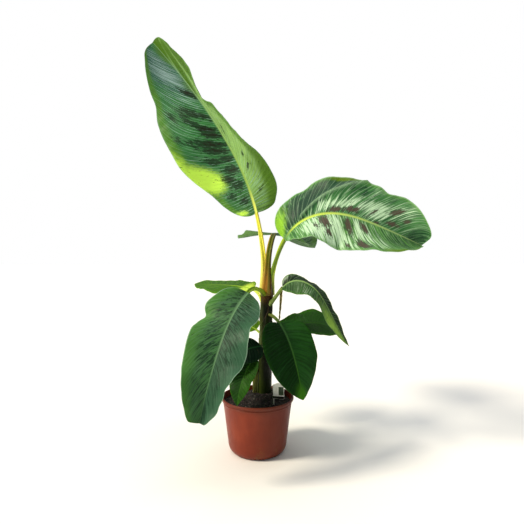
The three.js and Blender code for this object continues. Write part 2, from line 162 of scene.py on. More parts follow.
LEAVES["right"] = Leaf(
    (0.034, 0.013, 0.404),
    Petiole(0.157, (-60, -32), (86, 57), (0.007, 0.006)),
    Blade(0.387, (-32, -8, 14), (57, -15, -24), (-55, -55, -80), 0.38, 1.9, 1.8, 0.32),
    Half(
        0.112, (38, 7, 14, -3, 40), (0, 0, 50), (6, 3, 0.2),
        lobes=[(22, 3, -3), (38, 7, -4), (68, 4, -8), (80, 5, 6), (93, 5, -6), (100, 2, 4)],
    ),
    Half(
        0.098, (23, 15, -11, 3, 15), (0, 5, 105), (3, 3, 0.44),
        lobes=[(60, 15, 2), (84, 8, 8), (100, 6, -18)],
    ),
    # The right petiole's dark olive foot is partly painted shade.
    PetioleLook("343C10", "C0D838", "DCF054", "5A7C1A", 0.9, "8CA030", (0.05, 0.4)),
    blade_look(
        "4C8A4C", "66A450", "2A5A36", "5E9A40", "D4EE58", "9CC07C", "B8E0B4", rib_foot="6E9A58",
        margin_from=0.86, line=0.4, streaks=0.75, slant=(0.1, 0.3, 0.5, 0.8, 1.2), lime_colour="A2E040",
        sheen_colour="D2F6CE", blotch_colour="584840", blotch_deep="345038", core=0.56, ripple=0.0012,
        olive_colour="5C7E14", silver=2.1, streak_count=260, ragged=(300, 60),
        creases=[(-1, 0.13, 0.54, 0.012, 0.03)], rib_taper=0.8, dark_colour="1E4030",
        blotch=[
            (40, -12, 5, 9, 1), (50, -17, 5, 9, 1), (63, -27, 1.3, 17, 0.9), (77, -55, 2.6, 14, 1.1),
            (85, -45, 1.4, 14, 0.9), (77, -20, 4.5, 9, 0.95), (67, -6, 3, 6, 0.7), (33, 26, 4, 22, 1),
            (37, 62, 2.6, 12, 1), (50, 30, 3, 26, 1), (60, 23, 2.2, 18, 1), (53, 85, 1.6, 8, 0.8),
            (62, 78, 3, 14, 1.1), (28, 45, 2, 14, 0.7),
        ],
        lime=[(3, -64, 6.5, 42, 1)],
        sheen=[
            (38, -24, 11, 24, 0.8), (52, -34, 13, 32, 0.72), (66, -40, 13, 44, 0.82),
            (80, -60, 11, 40, 0.62), (30, 60, 14, 80, 0.95), (44, 50, 10, 70, 0.85), (58, 40, 14, 55, 0.7),
            (70, 60, 10, 40, 0.6),
        ],
        dark=[
            (20, -55, 13, 60, 0.95), (52, -72, 10, 20, 0.6), (93, -20, 10, 70, 0.7), (84, 40, 12, 50, 0.7),
        ],
        olive=[(88, 100, 15, 28, 1), (44, -100, 7, 16, 0.9)],
    ),
)
LEAVES["back"] = Leaf(
    (0.023, 0.003, 0.404),
    Petiole(0.194, (36, 84), (84, 80, 8), (0.0095, 0.007)),
    Blade(0.36, (84, 82, 80), (8, 2, 0, -6), (0, 0, 0), 0.42, 2.6, 2.4, 0.62),
    Half(0.122, (-4, -6, 4, 4), wave=(2, 3, 0.2)),
    Half(0.126, (-4, -42, -14, -8), (0, 44, 0), (3, 3, 0.4)),
    PetioleLook("A05014", "7C8A26", "E8B048", "38260A", 0.9, "B08430", (0.15, 0.6)),
    blade_look(
        "5E8A34", "2E5A26", "1E4420", "5D8A3A", "5A6A28", "6F9A5C", "7FA878", under="3E7030", ripple=0.0012,
    ),
)
LEAVES["left"] = Leaf(
    (0.025, 0.014, 0.39),
    Petiole(0.105, (-124, -122), (62, -27), (0.007, 0.005)),
    Blade(0.335, (-122, -124, -152), (-27, -60, -80), (27, 10, 38), 0.42, 2.3, 1.5, 0.38),
    Half(
        0.073, (-12, 18, 7, 6, 22), (0, -6, 22), (9, 3, 0.07),
        lobes=[(76, 5, -6), (86, 5, -4), (100, 3, 4)],
    ),
    Half(
        0.08, (12, -5, 24, 34, 34), (0, -5, 45), (5, 3, 0.8),
        lobes=[(8, 5, 4), (20, 5, 8), (29, 3, -6), (55, 20, -2), (98, 3, 3), (100, 2, 7)],
    ),
    PetioleLook("4E5E10", "8CB430", "9AB820", "4A6410", fibre="7C9420", change=(0.15, 0.75)),
    blade_look(
        "2A5238", "42743E", "1C3C26", "3A6248", "648C62", "4C744C", "668E74", margin_right="4E8836",
        rim_colour="94B89C", foot="3E6A30", foot_until=0.2, margin_from=0.45, margin_full=0.95, line=0.3,
        rib_taper=0.9, slant=(0.15, 0.5, 0.9, 1.5, 2.2), dashes=(170, 60, 4.4), dark_colour="12301E",
        rim=0.9, sheen_colour="6C9080", ripple=0.0013, through_share=0.06, silver=1.8,
        sheen=[(35, 40, 40, 50, 0.25)], dark=[(42, 25, 55, 50, 0.56), (45, -25, 60, 50, 0.5)],
    ),
)
# The front leaf's dark greens are partly painted shade.
LEAVES["front"] = Leaf(
    (0.024, 0.016, 0.356),
    Petiole(0.066, (-54, -66), (-5, -26), (0.005, 0.004)),
    Blade(0.204, (-66, -63, -58), (-26, -59, -75), (-4, -4, 0), 0.4, 3, 2.2, 0.8),
    Half(0.066, (20, 2, -4), (0, -10, -12), (2.4, 2, 0.14)),
    Half(0.07, (18, -2, -2), (0, -10, -12), (2.4, 2, 0.06)),
    PetioleLook("6E6E22", "5A7C34", "8A9440", "3A4010"),
    blade_look(
        "24541E", "10340C", "081E06", "1E4A0C", "44703A", "3A6A1C", "245428", shine=0.06, margin_from=0.85,
        line=0.2, streaks=0.35, lime_colour="3C7812", through_share=0.03, lime=[(97, 0, 16, 120, 0.9)],
    ),
)
LEAVES["low_right"] = Leaf(
    (0.022, 0.022, 0.282),
    Petiole(0.036, (20, 18), (62, 20), (0.005, 0.004)),
    Blade(0.22, (18, 26, 40), (20, -4, -26), (-20, -24, -34), 0.64, 1.5, 2.4, 0.7),
    Half(0.08, (-8, -8, 4), (0, 0, 5), (3, 2, 0.66), lobes=[(25, 15, -9)]),
    Half(0.062, (0, 2, 6), (0, 0, 5), (3, 2, 0.72)),
    PetioleLook("3A4E14", "3E6020"),
    blade_look(
        "204C0A", "1C4606", "163C04", "2E6208", "386A18", "2E5E14", "265A10", shine=0.06,
        through_share=0.04, line=0.15, streaks=0.3,
    ),
)
LEAVES["arching"] = Leaf(
    (0.025, 0.015, 0.366),
    Petiole(0.082, (-48, -42), (50, 45), (0.0065, 0.005)),
    Blade(0.262, (-42, -28, -20), (45, -54, -57), (-42, -6, -4), 0.3, 3.2, 1.8, 0.85),
    Half(0.036, (48, -24, 0, 20, 0), wave=(-4, 2, 0.97), lobes=[(62, 20, -4)]),
    Half(0.038, (10, -35, -6, -26, -45), wave=(-3, 2, 0.8)),
    PetioleLook("3E5410", "5E7E2E", "A0B860", "A0B860", 0.7, "2A3C0C"),
    blade_look(
        "0C2A0C", "34602A", "122E10", "3E6E24", "8AAE6A", "8FB45C", "7C9E74", line=0.5, streaks=0.6,
        lime_colour="8EB84C", sheen_colour="9CB09A", through_share=0.06, silver=3.0, ripple=0.001,
        dark_colour="0A2010", lime=[(78, 60, 25, 60, 0.8)],
        sheen=[(34, 50, 20, 60, 0.28), (5, -90, 6, 40, 0.9)], dark=[(14, -50, 16, 45, 0.95)],
    ),
)
LEAVES["back_left"] = Leaf(
    (0.014, 0.025, 0.384),
    Petiole(0.056, (133, 132), (66, 7), (0.005, 0.004)),
    Blade(0.228, (132, 142, 152), (7, -1, 0), (20, 10, 20), 0.55, 2.6, 1.5, 0.8),
    Half(0.064, (-8, -2, 4), wave=(4, 2, -0.1)),
    Half(0.058, (5, -2, 5), (0, 0, 5), (3, 2, 0.3)),
    PetioleLook("C4DC30", "D8F048", "F0FC70", "94B028"),
    blade_look(
        "447A06", "3C7006", "2E6004", "5A9608", "A8D030", "6E9A20", "88B830", lime_colour="D8F860",
        through_share=0.12, lime=[(6, 0, 12, 90, 1)],
    ),
)
LEAVES["rim"] = Leaf(
    (0.021, 0.024, 0.25),
    Petiole(0.064, (-112, -128), (30, -35), (0.005, 0.004)),
    Blade(0.128, (-128, -132, -116), (-35, -60, -76), (0, 0, 0), 0.45, 2.6, 1.5, 0.95),
    Half(0.034),
    Half(0.046, wave=(2, 2, 0.6)),
    PetioleLook("3A4E14", "3E6020"),
    blade_look(
        "285410", "0E3604", "0A2A02", "225004", "3A6A24", "2E5C18", "3A6A2C", shine=0.06,
        through_share=0.04,
    ),
)
# The shaded leaf's near-black greens are painted shade on a green leaf.
LEAVES["shaded"] = Leaf(
    (0.021, 0.024, 0.266),
    Petiole(0.036, (-80, -140), (20, 2), (0.004, 0.003)),
    Blade(0.14, (-140, -165, -170), (2, -20, -50), (40, 40, 30), 0.42, 3, 2.2, 0.7),
    Half(0.042),
    Half(0.036, wave=(2, 2, 0.6)),
    PetioleLook("24300F", "1E3410", "34481A", "16240C"),
    blade_look(
        "02160A", "021408", "010E04", "08240E", "143A1C", "12341A", "0E3018", shine=0.06,
        through_share=0.02,
    ),
)
# The sunlit leaf's bright yellow-green is partly painted sunlight.
LEAVES["sunlit"] = Leaf(
    (0.022, 0.02, 0.284),
    Petiole(0.04, (150, 140), (50, 22), (0.004, 0.003)),
    Blade(0.165, (140, 135, 133), (22, -10, -30), (25, 25, 20), 0.42, 2.6, 2.2, 0.7),
    Half(0.044),
    Half(0.044, wave=(2, 2, 0.6)),
    PetioleLook("8AA42C", "A8C848", "C0D850", "6A8424"),
    blade_look("5A8812", "4C7A10", "3A640E", "78A41C", "94B838", "76A028", "86AE30", through_share=0.12),
)


# ---- curves ----

def smooth(x, low, high):
    """0 below low, 1 above high and eased between."""
    share = np.clip((x - low) / (high - low), 0, 1)
    return share * share * (3 - 2 * share)


def waves(place, length, phase):
    return np.sin(2 * np.pi * place / length + phase)


def along(values, t):
    """A smooth value at each t, from 0 to 1, of a few values spread evenly."""
    values = np.asarray(values, float)
    last = len(values) - 1
    place = np.clip(t, 0, 1) * last
    i = np.minimum(place.astype(int), last - 1)
    f = place - i
    padded = np.concatenate([[2 * values[0] - values[1]], values, [2 * values[-1] - values[-2]]])
    before, a, b, after = (padded[i + k] for k in range(4))
    ease = f * f * (3 - 2 * f)
    leave = (b - before) / 2 * f * (1 - f) ** 2
    arrive = (after - a) / 2 * f * f * (1 - f)
    return a * (1 - ease) + b * ease + leave - arrive


def towards(azimuth, elevation):
    """The direction with these angles in degrees."""
    azimuth, elevation = np.radians(azimuth), np.radians(elevation)
    level = np.cos(elevation)
    return np.stack([level * np.cos(azimuth), level * np.sin(azimuth), np.sin(elevation)], axis=-1)


class Limb:
    """The curve that a limb draws from its foot as it follows its headings."""

    def __init__(self, foot, length, azimuth, elevation, steps=240):
        self.azimuth, self.elevation = azimuth, elevation
        self.stations = np.linspace(0, 1, steps + 1)
        middles = (self.stations[1:] + self.stations[:-1]) / 2
        strides = self.heading(middles) * length / steps
        self.points = np.vstack([foot, foot + np.cumsum(strides, axis=0)])

    def heading(self, t):
        return towards(along(self.azimuth, t), along(self.elevation, t))

    def point(self, t):
        return np.stack([np.interp(t, self.stations, self.points[:, i]) for i in range(3)], axis=-1)

    def frame(self, t, roll):
        """Sideways to the right of the heading, and up, at each t after a roll in degrees."""
        azimuth = np.radians(along(self.azimuth, t))
        side = np.stack([np.sin(azimuth), -np.cos(azimuth), np.zeros_like(azimuth)], axis=-1)
        up = np.cross(side, self.heading(t))
        cos = np.cos(np.radians(roll))[:, None]
        sin = np.sin(np.radians(roll))[:, None]
        return side * cos + up * sin, up * cos - side * sin


# ---- meshes ----

def add_object(name, data):
    thing = bpy.data.objects.new(name, data)
    bpy.context.collection.objects.link(thing)
    return thing


def add_piece(name, mesh, material, nodes=()):
    """Puts a finished mesh in the scene, where it stands for these CAD nodes."""
    piece = add_object(name, mesh)
    mesh.materials.append(material)
    mesh.shade_smooth()
    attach(piece, "root")
    if nodes:
        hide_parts(*nodes)


def face_outward(mesh):
    """Turns every face of a closed mesh outward."""
    work = bmesh.new()
    work.from_mesh(mesh)
    bmesh.ops.recalc_face_normals(work, faces=work.faces)
    work.to_mesh(mesh)
    work.free()


def loft(name, rings, marks=None):
    """A closed mesh through rings of points, shaped (rings, points, 3), with an even fan over each end.

    marks are the mesh's float attributes, each shaped (rings, points).
    """
    count, around = rings.shape[:2]
    ends = np.stack([rings[0].mean(axis=0), rings[-1].mean(axis=0)])
    points = np.vstack([rings.reshape(-1, 3), ends])
    index = np.arange(count * around).reshape(count, around)
    after = np.roll(index, -1, axis=1)
    quads = np.stack([index[:-1], after[:-1], after[1:], index[1:]], axis=-1).reshape(-1, 4)
    first = np.stack([after[0], index[0], np.full(around, count * around)], axis=-1)
    last = np.stack([index[-1], after[-1], np.full(around, count * around + 1)], axis=-1)
    mesh = bpy.data.meshes.new(name)
    mesh.from_pydata(points.tolist(), [], quads.tolist() + first.tolist() + last.tolist())
    for mark, values in (marks or {}).items():
        both_ends = [values[0].mean(), values[-1].mean()]
        attribute = mesh.attributes.new(mark, "FLOAT", "POINT")
        attribute.data.foreach_set("value", np.append(values.ravel(), both_ends).astype(np.float32))
    face_outward(mesh)
    return mesh


def sweep(name, limb, t, roll, across, above, marks):
    """Lofts the sections (across, above), each shaped (stations, points), along a limb."""
    side, up = limb.frame(t, roll)
    rings = limb.point(t)[:, None] + across[..., None] * side[:, None] + above[..., None] * up[:, None]
    return loft(name, rings, marks)


# ---- blades ----

BLADE_STEP = 0.0016  # between the rings of a blade
BLADE_COLUMNS = 34  # of points across each half, past the midrib
RIB_COLUMNS = 3
RIB_TIP = 0.0006  # half-width of the midrib at a leaf's tip
LEAST_AT_FOOT, LEAST_AT_TIP = 0.005, 0.0012  # each half is at least this wide
BLADE_THICKNESS = 0.0009
RIPPLES = (0.057, 0.033)  # lengths of the waves across a blade
PLEAT = 0.0085  # spacing of the main lateral veins
PLEAT_DEPTH = 0.00045
PLEAT_DRIFT = 0.067  # length of the slow change in the veins' spacing


def outline(blade, t):
    """Half-width at t as a share of the widest."""
    widest = blade.widest
    before = np.clip((widest - t) / widest, 0, 1) ** blade.base_fullness
    after = np.clip((t - widest) / (1 - widest), 0, 1) ** blade.tip_fullness
    return np.where(t < widest, np.sqrt(1 - before), np.clip(1 - after, 0, 1) ** blade.tip_point)


def half_section(blade, half, sign, t, rib):
    """One half's middle line at each t: distance out, share of the width, place across and above.

    The first columns cross half the midrib, whose top is a shallow channel, and the rest cross the half
    blade, which folds up from the midrib's edge.
    """
    width = half.width * outline(blade, t)
    for place, reach, extra in half.lobes:
        width = width + extra / 1000 * np.exp(-((100 * t - place) / reach) ** 2)
    width = np.maximum(width, LEAST_AT_FOOT + (LEAST_AT_TIP - LEAST_AT_FOOT) * t)[:, None]
    rib = np.minimum(rib[:, None], 0.8 * width)
    in_rib = np.linspace(0, 1, RIB_COLUMNS + 1)[None, :-1]
    in_blade = np.linspace(0, 1, BLADE_COLUMNS)[None, :] ** 1.15
    out = np.hstack([rib * in_rib, rib + (width - rib) * in_blade])
    edge = out / width
    degrees, count, phase = half.wave
    wave = degrees * np.sin(2 * np.pi * (count * t + phase))[:, None] * edge
    turn = np.radians(along(half.fold, t)[:, None] + along(half.curl, t)[:, None] * edge / 2 + wave)
    free = np.maximum(out - rib, 0)
    channel = 0.35 * rib * (1 - np.minimum(out / rib, 1) ** 2)
    across = sign * (np.minimum(out, rib) + free * np.cos(turn))
    above = free * np.sin(turn) - channel
    return {"out": sign * out, "edge": edge, "across": across, "above": above, "rib": rib}


def blade_rings(leaf, seed, midrib, t, rib):
    """Closed rings round a blade's thickness, with the marks that its material reads."""
    blade, look = leaf.blade, leaf.look
    left = half_section(blade, leaf.left, -1, t, rib)
    right = half_section(blade, leaf.right, 1, t, rib)
    rib = left.pop("rib")
    out, edge, across, above = (np.hstack([left[key][:, :0:-1], right[key]]) for key in left)

    t = t[:, None]
    place = t * blade.length
    slant = along(look.slant, t)
    past_rib = np.maximum(np.abs(out) - rib, 0)
    vein = place - slant * past_rib
    side, up = midrib.frame(t[:, 0], along(blade.roll, t[:, 0]))
    middle = midrib.point(t[:, 0])[:, None]
    middle = middle + across[..., None] * side[:, None] + above[..., None] * up[:, None]
    normal = np.cross(np.gradient(middle, axis=1), np.gradient(middle, axis=0))
    normal /= np.linalg.norm(normal, axis=-1, keepdims=True) + 1e-12

    ripple = look.ripple * smooth(edge, 0.3, 1) * smooth(t, 1.0, 0.9)
    phase = seed + 2 * np.sign(out)
    swing = waves(place, RIPPLES[0], phase) + 0.7 * waves(place, RIPPLES[1], 2 * phase)
    middle = middle + (ripple * swing)[..., None] * normal
    fold, crease_highlight = np.zeros_like(vein), np.zeros_like(vein)
    for crease_side, start, end, height, reach in look.creases:
        ahead = t - start - (end - start) * edge
        on_side = np.where(out * crease_side > 0, smooth(past_rib, 0, 0.01), 0)
        middle = middle + (height * on_side * np.exp(-np.abs(ahead) / reach))[..., None] * normal
        # Painted shade on the foot side of each crease.
        fold = fold + on_side * smooth(ahead, 0.001, -0.008) * smooth(ahead, -0.34, -0.06)
        # A painted highlight along each crease.
        crease_highlight = crease_highlight + on_side * np.exp(-((ahead - 0.004) / 0.011) ** 2)

    drift = 1.4 * waves(vein, PLEAT_DRIFT, 3 * np.sign(out))
    pleat = waves(vein, PLEAT, drift) + 0.5 * waves(vein, 0.61 * PLEAT, 1)
    depth = PLEAT_DEPTH * smooth(past_rib, 0, 0.012) * (1 - 0.6 * smooth(edge, 0.8, 1))
    depth = depth * smooth(slant, 1.0, 0.4)  # steep pleats would be too fine for the mesh
    middle = middle + (depth * pleat)[..., None] * normal

    thin = BLADE_THICKNESS * (1 - 0.55 * smooth(edge, 0.9, 1))
    under_rib = 0.95 * rib * np.sqrt(np.clip(1 - (out / rib) ** 2, 0, 1))
    upper = middle + (thin / 2)[..., None] * normal
    lower = middle - (thin / 2 + under_rib)[..., None] * normal
    marks = {
        "vein": vein, "out": out, "edge": edge, "along": t + 0 * vein, "fold": fold, "crease_highlight": crease_highlight,
        "rib": 1 - smooth(np.abs(out) / rib, 0.75, 1.25),
    }
    for mark in ("blotch", "lime", "sheen", "dark", "olive"):
        marks[mark] = patches(leaf, getattr(look, mark), vein / blade.length, np.sign(out) * edge)
    marks = {mark: np.hstack([values, values[:, ::-1]]) for mark, values in marks.items()}
    marks["under"] = np.hstack([0 * vein, 0 * vein + 1])
    return np.hstack([upper, lower[:, ::-1]]), marks


def patches(leaf, spots, share, across):
    """How strongly the nearest of some spots marks each point of a blade, along its vein's share."""
    blade = leaf.blade
    strongest = np.zeros_like(share)
    for spot in spots:
        place, side, reach, width, strength = np.array(spot) / (100, 100, 100, 100, 1)
        half = leaf.right if side > 0 else leaf.left
        out = abs(side) * half.width * outline(blade, place)
        own_share = place - along(leaf.look.slant, place) * out / blade.length
        away = ((share - own_share) / reach) ** 2 + ((across - side) / width) ** 2
        strongest = np.maximum(strongest, strength * np.exp(-away))
    return strongest


# ---- materials ----

def srgb(code):
    """A colour written as six hex digits, in linear light."""
    parts = [int(code[i:i + 2], 16) / 255 for i in (0, 2, 4)]
    return [x / 12.92 if x <= 0.04045 else ((x + 0.055) / 1.055) ** 2.4 for x in parts] + [1.0]


class Nodes:
    """The nodes of a material or world. A value is a number, a colour in hex, or another node's output.

    colour is what the material is painted so far.
    """

    def __init__(self, owner, colour=None):
        owner.use_nodes = True
        self.owner, self.tree, self.colour = owner, owner.node_tree, colour
        self.tree.nodes.clear()

    def add(self, kind, values, output=0, **settings):
        """Adds a node with these inputs and settings, and returns one output, or None for a tree's last."""
        node = self.tree.nodes.new("ShaderNode" + kind)
        for setting, value in settings.items():
            setattr(node, setting, value)
        for socket, value in values.items():
            if isinstance(value, bpy.types.NodeSocket):
                self.tree.links.new(value, node.inputs[socket])
            else:
                node.inputs[socket].default_value = srgb(value) if isinstance(value, str) else value
        return node.outputs[output] if output is not None else None

    def marks(self, *names):
        return [self.add("Attribute", {}, "Fac", attribute_name=name) for name in names]

    def math(self, operation, *values):
        return self.add("Math", dict(enumerate(values)), operation=operation)

    def plus(self, a, b):
        return self.math("ADD", a, b)

    def minus(self, a, b):
        return self.math("SUBTRACT", a, b)

    def times(self, a, b):
        return self.math("MULTIPLY", a, b)

    def eased(self, value, low, high, start=0.0, end=1.0):
        """start below low, end above high and eased between."""
        values = {"Value": value, "From Min": low, "From Max": high, "To Min": start, "To Max": end}
        return self.add("MapRange", values, interpolation_type="SMOOTHSTEP")

    def mix(self, share, first, second):
        values = {0: share, 6: first, 7: second}
        return self.add("Mix", values, 2, data_type="RGBA")

    def lay(self, colour, share):
        """Lays a colour over what is painted so far, covering this share of it."""
        self.colour = self.mix(share, self.colour, colour)

    def paint(self, colour, value, low, high, most=1.0):
        """Lays a colour on, from nothing where the value is low to most where it is high."""
        self.lay(colour, self.eased(value, low, high, 0.0, most))

    def frayed(self, value, grain, amount):
        """A value made uneven by a grain of noise."""
        return self.plus(value, self.times(self.minus(grain, 0.5), amount))

    def lines(self, place, spacing, drift):
        """0 on evenly spaced lines and 0.5 halfway between them."""
        return self.math("PINGPONG", self.plus(self.math("DIVIDE", place, spacing), drift), 0.5)

    def place(self, x, y, z):
        return self.add("CombineXYZ", {0: x, 1: y, 2: z})

    def stretched(self, x, y, x_scale, y_scale, z=0.0):
        return self.place(self.times(x, x_scale), self.times(y, y_scale), z)

    def point(self, *scale):
        """Where the surface is, in the plant's own frame, with each axis scaled."""
        place = self.add("TexCoord", {}, "Object")
        return self.add("Mapping", {"Vector": place, "Scale": scale or (1, 1, 1)})

    def noise(self, place, scale=1, detail=3, roughness=0.5):
        values = {"Vector": place, "Scale": scale, "Detail": detail, "Roughness": roughness}
        return self.add("TexNoise", values)

    def bump(self, height, strength, distance, under=None):
        values = {"Height": height, "Strength": strength, "Distance": distance}
        if under is not None:
            values["Normal"] = under
        return self.add("Bump", values)

    def finish(self, roughness, normal=None, shine=0.5, through=None, through_share=0.0):
        """The material, with a share of the light behind it coming through in the colour through."""
        values = {"Base Color": self.colour, "Roughness": roughness, "Specular IOR Level": shine}
        if normal is not None:
            values["Normal"] = normal
        shader = self.add("BsdfPrincipled", values)
        if through is not None:
            glow = self.add("BsdfTranslucent", {"Color": through})
            shader = self.add("MixShader", {0: through_share, 1: shader, 2: glow})
        self.add("OutputMaterial", {"Surface": shader}, None)
        return self.owner


def new_paint(name, colour=None):
    """The nodes of a new material in this colour."""
    return Nodes(bpy.data.materials.new(name), colour)


def blade_material(name, look, seed):
    """A banana leaf's skin: fine lateral veins, mottling, ragged blotches along the veins and a pale rib,
    with painted sunlight, reflection and shade.
    """
    n = new_paint(name)
    vein, out, edge, share, rib, under = n.marks("vein", "out", "edge", "along", "rib", "under")
    blotch, lime, sheen, dark, olive = n.marks("blotch", "lime", "sheen", "dark", "olive")
    fold, crease_highlight = n.marks("fold", "crease_highlight")

    def grain(across_veins, along_veins, number, detail, roughness=0.5):
        """Noise this fine across the veins and along them."""
        place = n.stretched(vein, out, across_veins, along_veins, seed + number)
        return n.noise(place, 1, detail, roughness)

    across_veins, along_veins, contrast = look.dashes
    broad = grain(150, 13, 0, 3)
    streaks = grain(look.streak_count, 17, 3, 4, 0.6)
    ragged = grain(*look.ragged, 5, 5, 0.65)
    dashes = grain(across_veins, along_veins, 7, 4, 0.6)
    leaf_place = n.place(vein, out, seed)
    cloudy = n.noise(leaf_place, 26, 3)
    right_half = n.eased(out, -0.001, 0.001)

    # Lateral veins: pale lines that wander a little, with finer ones between.
    drift = n.times(n.noise(n.stretched(vein, out, 60, 6)), 1.6)
    line = n.eased(n.lines(vein, PLEAT, drift), 0.10, 0.0)
    fine = n.lines(vein, 0.0011, n.times(n.noise(leaf_place, 90, 2), 1.2))

    # The halves' colours, which differ partly as painted light and shade.
    n.colour = n.mix(right_half, look.left, look.right)
    n.paint(look.foot, share, look.foot_until, 0.0, 0.85)
    deep = n.mix(right_half, look.deep, look.deep_right)
    n.paint(deep, cloudy, 0.35, 0.7, 0.35)
    n.paint(deep, broad, 0.44, 0.60, look.streaks)
    n.paint(look.vein, streaks, 0.50, 0.68, look.streaks)
    # Painted shade, and in places a deeper green, broken up along the veins.
    n.paint(look.dark_colour, n.frayed(dark, dashes, contrast), 0.42, 0.74, 0.85)
    # Painted silvery reflection, streaky along the veins.
    silver = n.plus(n.frayed(sheen, streaks, look.silver), n.times(line, look.silver_line))
    n.paint(look.sheen_colour, silver, 0.42, 0.82, 0.95)
    # Painted shade on the foot side of a crease.
    n.paint(look.dark_colour, n.frayed(fold, ragged, 1.2), 0.20, 0.65, 0.85)
    # A painted highlight along a crease.
    n.lay(look.vein, n.times(crease_highlight, 0.6))
    margin_colour = n.mix(right_half, look.margin, look.margin_right)
    margin = n.frayed(edge, ragged, 0.12)
    n.paint(margin_colour, margin, look.margin_from, look.margin_full, 0.8)
    n.lay(look.vein, n.times(line, look.line))
    n.paint(look.olive_colour, n.frayed(olive, ragged, 0.3), 0.3, 0.7)
    # Painted sunlight where it shines through the thin leaf.
    n.paint(look.lime_colour, n.frayed(lime, ragged, 0.9), 0.12, 0.85)
    stain = n.minus(n.frayed(blotch, ragged, 2.8), n.times(line, 0.25))
    n.paint(look.blotch_deep, stain, 0.30, 0.45, 0.85)
    middle = n.frayed(stain, broad, 1.2)
    n.paint(look.blotch_colour, middle, look.core, look.core + 0.16, 0.85)
    n.paint(look.rim_colour, edge, 0.965, 0.99, look.rim)
    n.lay(look.under, n.times(under, 0.6))
    rib_colour = n.mix(n.eased(share, 0.05, 0.9), look.rib, look.rib_tip)
    n.lay(n.mix(n.eased(share, 0.15, 0.0), rib_colour, look.rib_foot), rib)

    height = n.times(n.plus(n.times(line, 0.8), n.times(fine, 0.35)), n.minus(1.0, rib))
    relief = n.bump(height, 0.5, 0.0008)
    relief = n.bump(n.noise(n.point(), 900, 2), 0.08, 0.0004, relief)
    roughness = n.eased(cloudy, 0.3, 0.7, look.gloss, look.gloss + 0.16)
    glow = n.mix(0.5, n.colour, look.through)
    return n.finish(roughness, relief, look.shine, glow, look.through_share)


def petiole_material(name, look, seed):
    """Fibrous, glossy petiole: its colour runs from foot to neck, with a tint along each edge that is
    partly its own colour and partly painted highlight and shade.
    """
    n = new_paint(name, look.foot)
    share, side, above = n.marks("along", "side", "above")
    fibres = n.noise(n.stretched(share, side, 3, 9, seed), 2.2, 5, 0.6)
    cloudy = n.noise(n.point(), 60)
    n.paint(look.neck, share, *look.change)
    # Along each edge, partly the petiole's own colour and partly painted highlight and shade.
    n.paint(look.left_edge, side, -0.25, -0.8, look.edge_share)
    n.paint(look.right_edge, side, 0.25, 0.8, look.edge_share)
    n.paint(look.fibre, fibres, 0.45, 0.7, 0.35)
    n.paint(look.fibre, cloudy, 0.55, 0.75, 0.25)
    n.paint(look.neck, above, 0.1, 0.6, 0.3)
    roughness = n.eased(cloudy, 0.3, 0.7, 0.3, 0.48)
    glow = n.mix(0.5, n.colour, "D8E070")
    return n.finish(roughness, n.bump(fibres, 0.35, 0.0005), 0.25, glow, 0.1)


def stem_material():
    """Rolled leaf bases, one tone each, with long fibres, dark stains and a dry papery edge. Their
    near-black greens are partly painted shade, and the lighter olive on the left side is painted sunlight.
    """
    n = new_paint("pseudostem", "080F02")
    tone, border, height = n.marks("tone", "border", "height")
    fibres = n.noise(n.point(420, 420, 14), 1, 4, 0.6)
    stains = n.noise(n.point(70, 70, 22), 1, 4, 0.6)
    n.paint("182405", tone, 0.1, 0.5)
    n.paint("150C04", tone, 0.55, 0.9)
    n.paint("060803", stains, 0.42, 0.62, 0.9)
    n.paint("222E0A", fibres, 0.5, 0.75, 0.4)
    n.paint("1E2E06", height, 0.22, 0.03, 0.6)
    n.lay("3E3020", n.times(border, n.eased(stains, 0.35, 0.6, 0.15, 0.7)))
    # Painted sunlight: lighter olive on the stem's left side.
    sideways = n.add("SeparateXYZ", {"Vector": n.point()}, "X")
    sunny = n.times(n.eased(sideways, 0.020, 0.004), n.eased(stains, 0.60, 0.38, 0.35, 0.9))
    n.lay("445216", sunny)
    n.paint("523612", height, 0.86, 1.0, 0.8)
    relief = n.bump(stains, 0.25, 0.0012, n.bump(fibres, 0.4, 0.0006))
    return n.finish(n.eased(stains, 0.3, 0.7, 0.34, 0.62), relief, 0.12)


def sheath_material():
    n = new_paint("old_sheath", "2E3C0C")
    side, share = n.marks("side", "along")
    stripes = n.noise(n.stretched(side, share, 4.5, 1.2), 1.6, 4, 0.6)
    n.paint("7E8426", stripes, 0.38, 0.62)
    n.paint("3A2D1C", share, 0.12, 0.0, 0.7)
    relief = n.bump(stripes, 0.5, 0.0008)
    return n.finish(0.6, relief, through="A8A23A", through_share=0.12)


def dried_material():
    n = new_paint("dried_leaf", "4A4A26")
    side, share = n.marks("side", "along")
    fibres = n.noise(n.stretched(side, share, 6, 3), 1.5, 5, 0.65)
    n.paint("A89C60", fibres, 0.35, 0.65)
    n.paint("3E4E1C", share, 0.3, 0.9, 0.5)
    relief = n.bump(fibres, 0.6, 0.0008)
    return n.finish(0.78, relief, through="9C8850", through_share=0.15)


